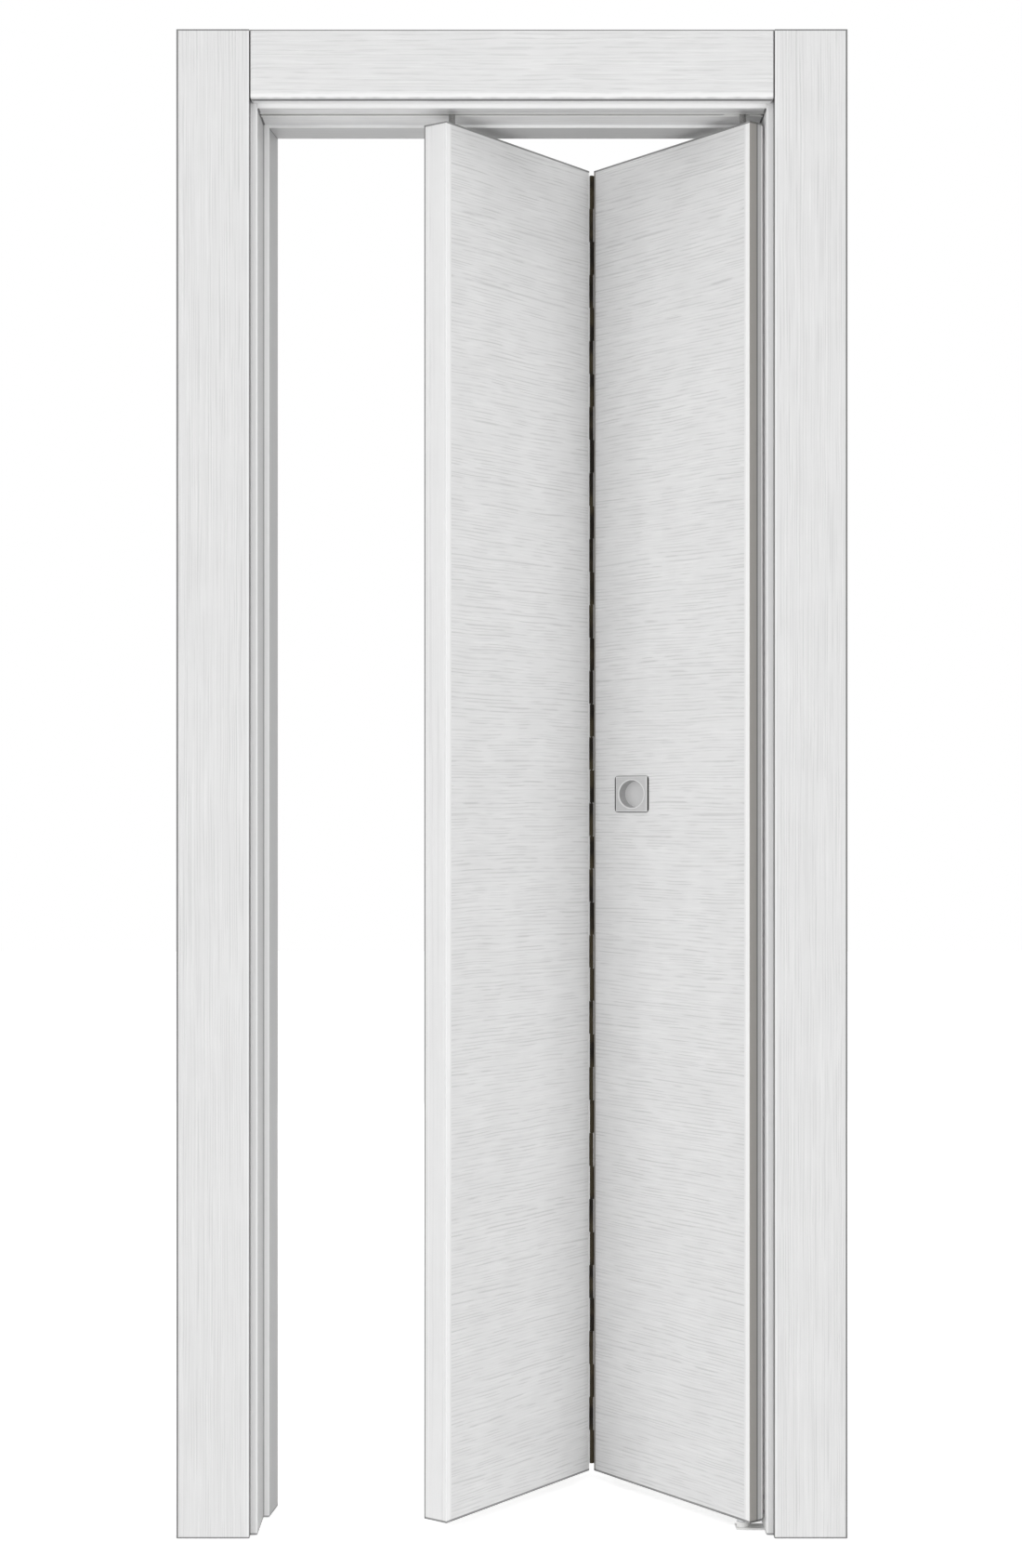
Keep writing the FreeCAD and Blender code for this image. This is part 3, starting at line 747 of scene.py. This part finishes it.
# satin plate and cup floor, with a painted highlight on the turned lip and a frame inside the plate's edge,
# painted shade down the cup's wall and on the plate's sides, and the cup floor painted lighter against the
# cup's shade
def makePullMetal():
    s = pullSettings
    material, tree, shader = newMaterial("satinPull")
    x, y, z = leafAxes(tree, objectCoords(tree), "pivot")
    brushX, brushZ = s["brush"]
    brush = addNode(tree, "ShaderNodeCombineXYZ", {
        "X": scaled(tree, x, brushX), "Y": y, "Z": scaled(tree, z, brushZ)}).outputs[0]
    lines = noise(tree, brush, 1.0, 2.0)
    aside, up = maths(tree, "SUBTRACT", x, s["x"]), maths(tree, "SUBTRACT", z, s["z"])
    depth = maths(tree, "SUBTRACT", y, s["front"])

    rimX, rimZ = s["rim"]
    reach = lengthOf(tree, maths(tree, "DIVIDE", aside, rimX), maths(tree, "DIVIDE", up, rimZ))
    cupEdge, lipEdge = s["cupReach"]
    floorFrom = s["depth"] - s["floorRise"]
    inCup = short(tree, reach, cupEdge, s["reachSoft"])
    lip = allOf(tree, inCup, past(tree, reach, lipEdge, s["reachSoft"]), short(tree, depth, s["lipDepth"]))
    wall = allOf(tree, inCup, past(tree, depth, s["wallFrom"], s["wallSoft"]),
                 short(tree, depth, floorFrom, s["floorSoft"]))

    halfX, halfZ = s["width"] / 2, s["height"] / 2
    frameX, frameZ = s["frameHighlight"]
    inner = anyOf(tree, past(tree, maths(tree, "ABSOLUTE", aside), halfX - frameX),
                  past(tree, maths(tree, "ABSOLUTE", up), halfZ - frameZ))
    top, fold, low, outer = (s["bevelShades"][edge] for edge in ("top", "fold", "low", "outer"))
    dark, light = s["plateTone"]
    colour = painted(tree, mixed(tree, ranged(tree, lines, 0.35, 0.65), dark, light), [
        (lip, s["lipHighlightTone"]), (wall, s["wallShadeTone"]),
        (allOf(tree, inCup, past(tree, depth, floorFrom)), s["floorPaintedLightTone"]),
        (scaled(tree, inner, s["frameHighlightStrength"]), s["lipHighlightTone"]),
        (past(tree, up, halfZ - top[0]), top[1]), (short(tree, aside, fold[0] - halfX), fold[1]),
        (short(tree, up, low[0] - halfZ), low[1]), (past(tree, aside, halfX - outer[0]), outer[1]),
    ])
    setInputs(tree, shader, {
        "Base Color": colour, "Roughness": ranged(tree, lines, 0.3, 0.7, *s["roughness"]),
        "Metallic": s["metallic"]})
    emboss(tree, shader, lines, *fineBump["pull"])
    return material


insides = {
    "powderCoat": makeCoat("whitePowderCoat", rgb(0.88, 0.88, 0.87), rgb(0.83, 0.83, 0.82), (0.4, 0.5),
                           900.0),
    "greySteel": makeCoat("phosphatedSteel", rgb(0.30, 0.296, 0.29), rgb(0.21, 0.208, 0.204), (0.35, 0.5),
                          500.0),
    "softwood": makeSoftwood(),
    "coreBoard": makeCoreBoard(),
    "zinc": makeMetal("brightZinc", rgb(0.66, 0.67, 0.68), rgb(0.50, 0.51, 0.53), (90.0, 90.0, 90.0),
                      (0.28, 0.42)),
    "satin": makePullMetal(),
    "bronze": makeHingeBronze(),
    "nylon": makeNylon(),
}
finishesOf = {
    "powderCoat": ("top_track", "top_pivot_bracket", "bottom_pivot_bracket", "bottom_bracket_screws"),
    "greySteel": ("top_pivot_pin", "guide_pin", "guide_clip"),
    "nylon": ("guide_housing", "guide_wheel", "top_pivot_housing", "bottom_pivot_housing"),
    "softwood": [side + part for side in ("pivot", "lead")
                 for part in ("_leaf_fold_stile", "_leaf_outer_stile", "_leaf_rails", "_leaf_lock_block")],
    "coreBoard": ("pivot_leaf_core", "lead_leaf_core"),
    "bronze": ("hinge_pin", "pivot_leaf_hinge_wing", "lead_leaf_hinge_wing"),
    "satin": ("flush_pull",),
}
for name, covered in finishesOf.items():
    nodeFinish.update({node: insides[name] for node in covered})
for name, node in nodes.items():
    node.data.materials.clear()
    node.data.materials.append(nodeFinish.get(name, insides["zinc"]))
print("woods and metals made, finishes laid on the nodes")


def plateOutline(s, inset):
    ring = []
    halfX, halfZ = s["width"] / 2 - inset, s["height"] / 2 - inset
    corner = max(s["corner"] - inset, s["leastCorner"])
    for i in range(s["points"]):
        a = 2 * math.pi * i / s["points"]
        dx, dz = math.cos(a), math.sin(a)
        low, high = 0.0, s["farOut"]
        for _ in range(s["halvings"]):          # walk out along the ray to the rounded rectangle
            r = (low + high) / 2
            qx, qz = abs(r * dx) - (halfX - corner), abs(r * dz) - (halfZ - corner)
            out = math.hypot(max(qx, 0), max(qz, 0)) + min(max(qx, qz), 0) - corner
            low, high = (r, high) if out < 0 else (low, r)
        ring.append((low * dx, low * dz))
    return ring


def ovalRing(s, grow):
    halfX, halfZ = s["rim"][0] + grow, s["rim"][1] + grow
    return [(halfX * math.cos(2 * math.pi * i / s["points"]), halfZ * math.sin(2 * math.pi * i / s["points"]))
            for i in range(s["points"])]


def makePull():
    s = pullSettings
    y0, e, lip, hollow, wall = s["front"], s["edge"], s["lip"], s["hollow"], s["wall"]
    floor, draft = y0 + s["depth"], s["draft"]
    rings = [(plateOutline(s, 0.0), s["face"])]
    for k in range(4):                                       # rounded edge of the plate
        a = math.radians(90 * k / 3)
        rings.append((plateOutline(s, e * (1 - math.cos(a))), y0 + e - e * math.sin(a)))
    rings += [(ovalRing(s, share * lip), y0 + sunk) for share, sunk in s["aroundLip"]]
    for k in range(5):                                       # lip turned down into the cup
        a = math.radians(80 * k / 4)
        rings.append((ovalRing(s, lip * (1 - math.sin(a)) * s["lipShare"]), y0 + lip * (1 - math.cos(a))))
    for k in range(1, 4):                                    # wall, then a hollow corner at the floor
        rings.append((ovalRing(s, -draft * k / 4), y0 + lip + (s["depth"] - hollow - lip) * k / 4))
    for k in range(4):
        a = math.radians(90 * k / 3)
        rings.append((ovalRing(s, -draft - hollow * (1 - math.cos(a))), floor - hollow * (1 - math.sin(a))))
    rings.append((ovalRing(s, -s["floorIn"]), floor))
    frontCount = len(rings)
    corner = wall * s["backCorner"]
    rings += [(ovalRing(s, -s["backIn"]), floor + wall), (ovalRing(s, corner - draft), floor + corner),
              (ovalRing(s, wall), s["face"] + s["flange"]), (ovalRing(s, wall), s["face"])]
    bm = bmesh.new()
    loops = [[bm.verts.new((s["x"] + x, y, s["z"] + z)) for x, z in ring] for ring, y in rings]

    def bridge(a, b):
        for i in range(s["points"]):
            j = (i + 1) % s["points"]
            bm.faces.new((a[i], a[j], b[j], b[i]))

    for a, b in zip(loops[:frontCount], loops[1:frontCount]):
        bridge(a, b)
    bm.faces.new(loops[frontCount - 1])
    for a, b in zip(loops[frontCount:], loops[frontCount + 1:]):
        bridge(a, b)
    bm.faces.new(loops[frontCount])
    bridge(loops[-1], loops[0])
    bmesh.ops.recalc_face_normals(bm, faces=bm.faces)
    bmesh.ops.transform(bm, matrix=leafMatrix("pivot"), verts=bm.verts)
    finish("flushPull", weightedMesh(bm, "flushPull"), "pivot_leaf", "satin_metal", insides["satin"],
           "flush_pull")


makePull()
print("pull made")


def newTree(name, sockets):
    tree = bpy.data.node_groups.new(name, "GeometryNodeTree")
    addSockets(tree, sockets, [("Geometry", "NodeSocketGeometry")])
    return tree, tree.nodes.new("NodeGroupInput").outputs, tree.nodes.new("NodeGroupOutput")


# points, an instance on each, made real and painted
def layRow(tree, put, points, shape, paint, turn=(0.0, 0.0, 0.0)):
    rows = addNode(tree, "GeometryNodeInstanceOnPoints", {
        "Points": points, "Instance": shape, "Rotation": turn}).outputs["Instances"]
    real = addNode(tree, "GeometryNodeRealizeInstances", {"Geometry": rows}).outputs["Geometry"]
    coated = addNode(tree, "GeometryNodeSetMaterial", {"Geometry": real, "Material": paint})
    tree.links.new(coated.outputs["Geometry"], put.inputs["Geometry"])


# a plain mesh of what the tree makes from these values
def rowMesh(tree, name, values):
    holder = linked(name + "Rule", bpy.data.meshes.new(name + "Rule"))
    modifier = holder.modifiers.new("row", "NODES")
    modifier.node_group = tree
    for item in tree.interface.items_tree:
        if item.in_out == "INPUT":
            modifier[item.identifier] = values[item.name]
    depsgraph = bpy.context.evaluated_depsgraph_get()
    mesh = bpy.data.meshes.new_from_object(holder.evaluated_get(depsgraph))
    bpy.data.objects.remove(holder)
    mesh.name = name
    return mesh


# round knuckles on their tabs, every other pitch of the continuous hinge
def makeKnuckleTree():
    tree, given, put = newTree("knuckleRow", [
        ("Count", "NodeSocketInt", 20), ("Step", "NodeSocketVector", (0, 0, 0.1)),
        ("Radius", "NodeSocketFloat", 0.0029), ("Length", "NodeSocketFloat", 0.05),
        ("Tab", "NodeSocketVector", (0.001, 0.02, 0.05)), ("Tab Place", "NodeSocketVector", (0, 0, 0)),
        ("Finish", "NodeSocketMaterial", None)])
    line = addNode(tree, "GeometryNodeMeshLine", {"Count": given["Count"], "Offset": given["Step"]})
    barrel = addNode(tree, "GeometryNodeMeshCylinder", {
        "Vertices": 28, "Radius": given["Radius"], "Depth": given["Length"]}).outputs["Mesh"]
    tab = addNode(tree, "GeometryNodeMeshCube", {"Size": given["Tab"]}).outputs["Mesh"]
    tab = addNode(tree, "GeometryNodeTransform", {
        "Geometry": tab, "Translation": given["Tab Place"]}).outputs["Geometry"]
    joined = addNode(tree, "GeometryNodeJoinGeometry")
    for shape in (barrel, tab):
        tree.links.new(shape, joined.inputs["Geometry"])
    layRow(tree, put, line.outputs["Mesh"], joined.outputs["Geometry"], given["Finish"])
    return tree


def makeHingeWings():
    s, tree = hingeSettings, makeKnuckleTree()
    pitch = (s["high"] - s["low"]) / s["knuckles"]
    axisX, axisY = s["axis"]
    for side, first in (("pivot", 0), ("lead", 1)):
        flip = leafPlace[side]["flip"]
        tabX = flip * (leafShape["fold"] - s["plate"] / 2 - axisX)
        mesh = rowMesh(tree, side + "Knuckles", {
            "Count": (s["knuckles"] + 1 - first) // 2, "Step": (0, 0, 2 * pitch), "Radius": s["radius"],
            "Length": pitch - s["gap"],
            "Tab": (s["plate"] * s["tabShare"], s["tabBack"] - axisY, pitch - s["gap"]),
            "Tab Place": (tabX, (s["tabBack"] - axisY) / 2, 0), "Finish": insides["bronze"]})
        mesh.transform(Matrix.Translation((flip * axisX, axisY, s["low"] + (first + 0.5) * pitch)))
        bm = bmesh.new()
        x0, x1 = sorted((flip * (leafShape["fold"] - s["plate"]), flip * leafShape["fold"]))
        slab(bm, (x0, s["plateFront"], s["low"]), (x1, s["plateBack"], s["high"]))
        rounded(bm, lambda p: True, s["arris"], 2)
        bm.from_mesh(mesh)
        bmesh.ops.transform(bm, matrix=leafMatrix(side), verts=bm.verts)
        finish(side + "HingeWing", weightedMesh(bm, side + "HingeWing"), side + "_leaf", "hinge_metal",
               insides["bronze"], side + "_leaf_hinge_wing")


makeHingeWings()
print("hinge wings made")


screwShape = {"sides": 20, "topShare": 0.86, "slotLong": 1.15, "slotWide": 0.24}


# cross-slotted heads in a row, every other one shifted by the zigzag
def makeScrewTree():
    tree, given, put = newTree("screwRow", [
        ("Count", "NodeSocketInt", 4), ("Step", "NodeSocketVector", (0, 0, 0.1)),
        ("Zigzag", "NodeSocketVector", (0, 0, 0)), ("Turn", "NodeSocketVector", (0, 0, 0)),
        ("Radius", "NodeSocketFloat", 0.004), ("Height", "NodeSocketFloat", 0.0008),
        ("Finish", "NodeSocketMaterial", None)])
    radius, height = given["Radius"], given["Height"]
    line = addNode(tree, "GeometryNodeMeshLine", {"Count": given["Count"], "Offset": given["Step"]})
    odd = maths(tree, "MODULO", addNode(tree, "GeometryNodeInputIndex").outputs[0], 2.0)
    shift = addNode(tree, "ShaderNodeVectorMath", {0: given["Zigzag"], "Scale": odd},
                    operation="SCALE").outputs["Vector"]
    moved = addNode(tree, "GeometryNodeSetPosition", {"Geometry": line.outputs["Mesh"], "Offset": shift})
    head = addNode(tree, "GeometryNodeMeshCone", {
        "Vertices": screwShape["sides"], "Radius Top": scaled(tree, radius, screwShape["topShare"]),
        "Radius Bottom": radius, "Depth": height})
    drive = addNode(tree, "GeometryNodeMeshBoolean", {"Mesh 1": head.outputs["Mesh"]}, operation="DIFFERENCE")
    lift = addNode(tree, "ShaderNodeCombineXYZ", {"Z": height}).outputs[0]
    slot = screwShape["slotLong"], screwShape["slotWide"]
    for along, across in (slot, slot[::-1]):
        size = addNode(tree, "ShaderNodeCombineXYZ", {
            "X": scaled(tree, radius, along), "Y": scaled(tree, radius, across),
            "Z": height}).outputs[0]
        bar = addNode(tree, "GeometryNodeMeshCube", {"Size": size}).outputs["Mesh"]
        raised = addNode(tree, "GeometryNodeTransform", {"Geometry": bar, "Translation": lift})
        tree.links.new(raised.outputs["Geometry"], drive.inputs["Mesh 2"])
    turn = addNode(tree, "FunctionNodeEulerToRotation", {"Euler": given["Turn"]}).outputs[0]
    layRow(tree, put, moved.outputs[0], drive.outputs["Mesh"], given["Finish"], turn)
    return tree


screwTurns = {"+x": (0.0, math.radians(90), 0.0), "-x": (0.0, math.radians(-90), 0.0),
              "down": (math.radians(180), 0.0, 0.0)}
screwRows = {side + "HingeScrews": {
    "body": side + "_leaf", "slot": "hinge_metal", "finish": "bronze", "leaf": side, "facing": facing,
    "start": (x, 0.006, 0.070), "Count": 14, "Step": (0, 0, 0.142), "Zigzag": (0, 0.004, 0),
    "Radius": 0.0032, "Height": 0.0006,
} for side, facing, x in (("pivot", "-x", -0.3272), ("lead", "+x", 0.3272))}
screwRows.update({
    "trackScrews": {
        "body": "frame", "slot": "zinc_steel", "finish": "zinc", "leaf": None, "facing": "down",
        "start": (-0.31, 0.036, 2.0294), "Count": 4, "Step": (0.19, 0, 0), "Zigzag": (0, 0, 0),
        "Radius": 0.004, "Height": 0.0014},
    "bracketScrewHeads": {
        "body": "frame", "slot": "zinc_steel", "finish": "zinc", "leaf": None, "facing": "-x",
        "start": (0.3590, 0.036, 0.022), "Count": 2, "Step": (0, 0, 0.022), "Zigzag": (0, 0, 0),
        "Radius": 0.0036, "Height": 0.0008},
})
screwTree = makeScrewTree()
for name, s in screwRows.items():
    mesh = rowMesh(screwTree, name, {**s, "Turn": screwTurns[s["facing"]], "Finish": insides[s["finish"]]})
    move = Matrix.Translation(s["start"])
    mesh.transform(leafMatrix(s["leaf"]) @ move if s["leaf"] else move)
    finish(name, mesh, s["body"], s["slot"], insides[s["finish"]])
print("screw rows made")

cameraSettings = {"eye": (0.0, -3.545, 1.0307), "lens": 57.75, "sensor": 36.0, "shift": (-0.0006, 0.0125)}
cameraData = bpy.data.cameras.new("frontCamera")
cameraData.sensor_fit = "VERTICAL"
cameraData.sensor_height = cameraSettings["sensor"]
cameraData.lens = cameraSettings["lens"]
cameraData.shift_x, cameraData.shift_y = cameraSettings["shift"]
camera = linked("frontCamera", cameraData)
camera.location = cameraSettings["eye"]
camera.rotation_euler = (math.radians(90), 0, 0)
bpy.context.scene.camera = camera

# a pale tent gives most of the light, and three soft lamps lift it a little from front and back
lampSettings = {
    "leftSoftbox": {"at": (-3.8, -3.5, 1.0), "size": (2.6, 1.8), "power": 44.0},
    "rightSoftbox": {"at": (3.7, -3.6, 1.0), "size": (2.6, 1.8), "power": 38.0},
    "backSoftbox": {"at": (0.0, 5.0, 1.6), "size": (3.5, 2.5), "power": 70.0},
}
lampAim = Vector((0.0, 0.1, 1.0))
for name, lamp in lampSettings.items():
    data = bpy.data.lights.new(name, "AREA")
    data.shape = "RECTANGLE"
    data.size, data.size_y = lamp["size"]
    data.energy = lamp["power"]
    thing = linked(name, data)
    thing.location = lamp["at"]
    thing.rotation_euler = (lampAim - Vector(lamp["at"])).to_track_quat("-Z", "Y").to_euler()
    thing.visible_camera = False
    thing.visible_glossy = False


def quad(name, corners):
    mesh = bpy.data.meshes.new(name)
    mesh.from_pydata(corners, [], [(0, 1, 2, 3)])
    return linked(name, mesh)


def seenStraight(tree):
    path = addNode(tree, "ShaderNodeLightPath").outputs
    return anyOf(tree, path["Is Camera Ray"], path["Is Glossy Ray"], path["Is Transmission Ray"])


worldSettings = {"seen": 1.0, "front": 1.0, "back": 0.36, "turn": (-0.50, 0.35)}
world = bpy.data.worlds.new("whiteStudio")
world.use_nodes = True
bpy.context.scene.world = world
tree = world.node_tree
tree.nodes.clear()
heading = axesOf(tree, addNode(tree, "ShaderNodeTexCoord").outputs["Generated"])["Y"]
turnLow, turnHigh = worldSettings["turn"]
tent = ranged(tree, heading, turnLow, turnHigh, worldSettings["front"], worldSettings["back"])
strength = maths(tree, "MAXIMUM", tent, scaled(tree, seenStraight(tree), worldSettings["seen"]))
sky = addNode(tree, "ShaderNodeBackground", {"Color": rgb(1, 1, 1), "Strength": strength})
addNode(tree, "ShaderNodeOutputWorld", {"Surface": sky.outputs[0]})

floorSettings = {"half": 14.0, "drop": 0.0006, "colour": grey(0.80), "glow": 0.63}
half, drop = floorSettings["half"], floorSettings["drop"]
floor = quad("studioFloor", [
    (-half, -half, -drop), (half, -half, -drop), (half, half, -drop), (-half, half, -drop)])
material = bpy.data.materials.new("paleFloor")
material.use_nodes = True
tree = material.node_tree
tree.nodes.clear()
matte = addNode(tree, "ShaderNodeBsdfDiffuse", {"Color": floorSettings["colour"]})
glow = addNode(tree, "ShaderNodeEmission", {
    "Color": rgb(1, 1, 1), "Strength": scaled(tree, seenStraight(tree), floorSettings["glow"])})
both = addNode(tree, "ShaderNodeAddShader", {0: matte.outputs[0], 1: glow.outputs[0]})
addNode(tree, "ShaderNodeOutputMaterial", {"Surface": both.outputs[0]})
floor.data.materials.append(material)

# a dark panel behind the camera that only gloss sees, so that metal has something to darken it
panelSettings = {"y": -6.0, "half": 4.5, "top": 3.6, "tone": 0.03}
half, y, top = panelSettings["half"], panelSettings["y"], panelSettings["top"]
panel = quad("darkPanel", [(-half, y, 0.0), (half, y, 0.0), (half, y, top), (-half, y, top)])
material, tree, shader = newMaterial("darkPanel")
shader.inputs["Base Color"].default_value = grey(panelSettings["tone"])
shader.inputs["Roughness"].default_value = 1.0
panel.data.materials.append(material)
panel.visible_camera = False
panel.visible_diffuse = False
panel.visible_shadow = False
print("camera, lamps and floor set")

bpy.context.scene.view_settings.view_transform = "Standard"
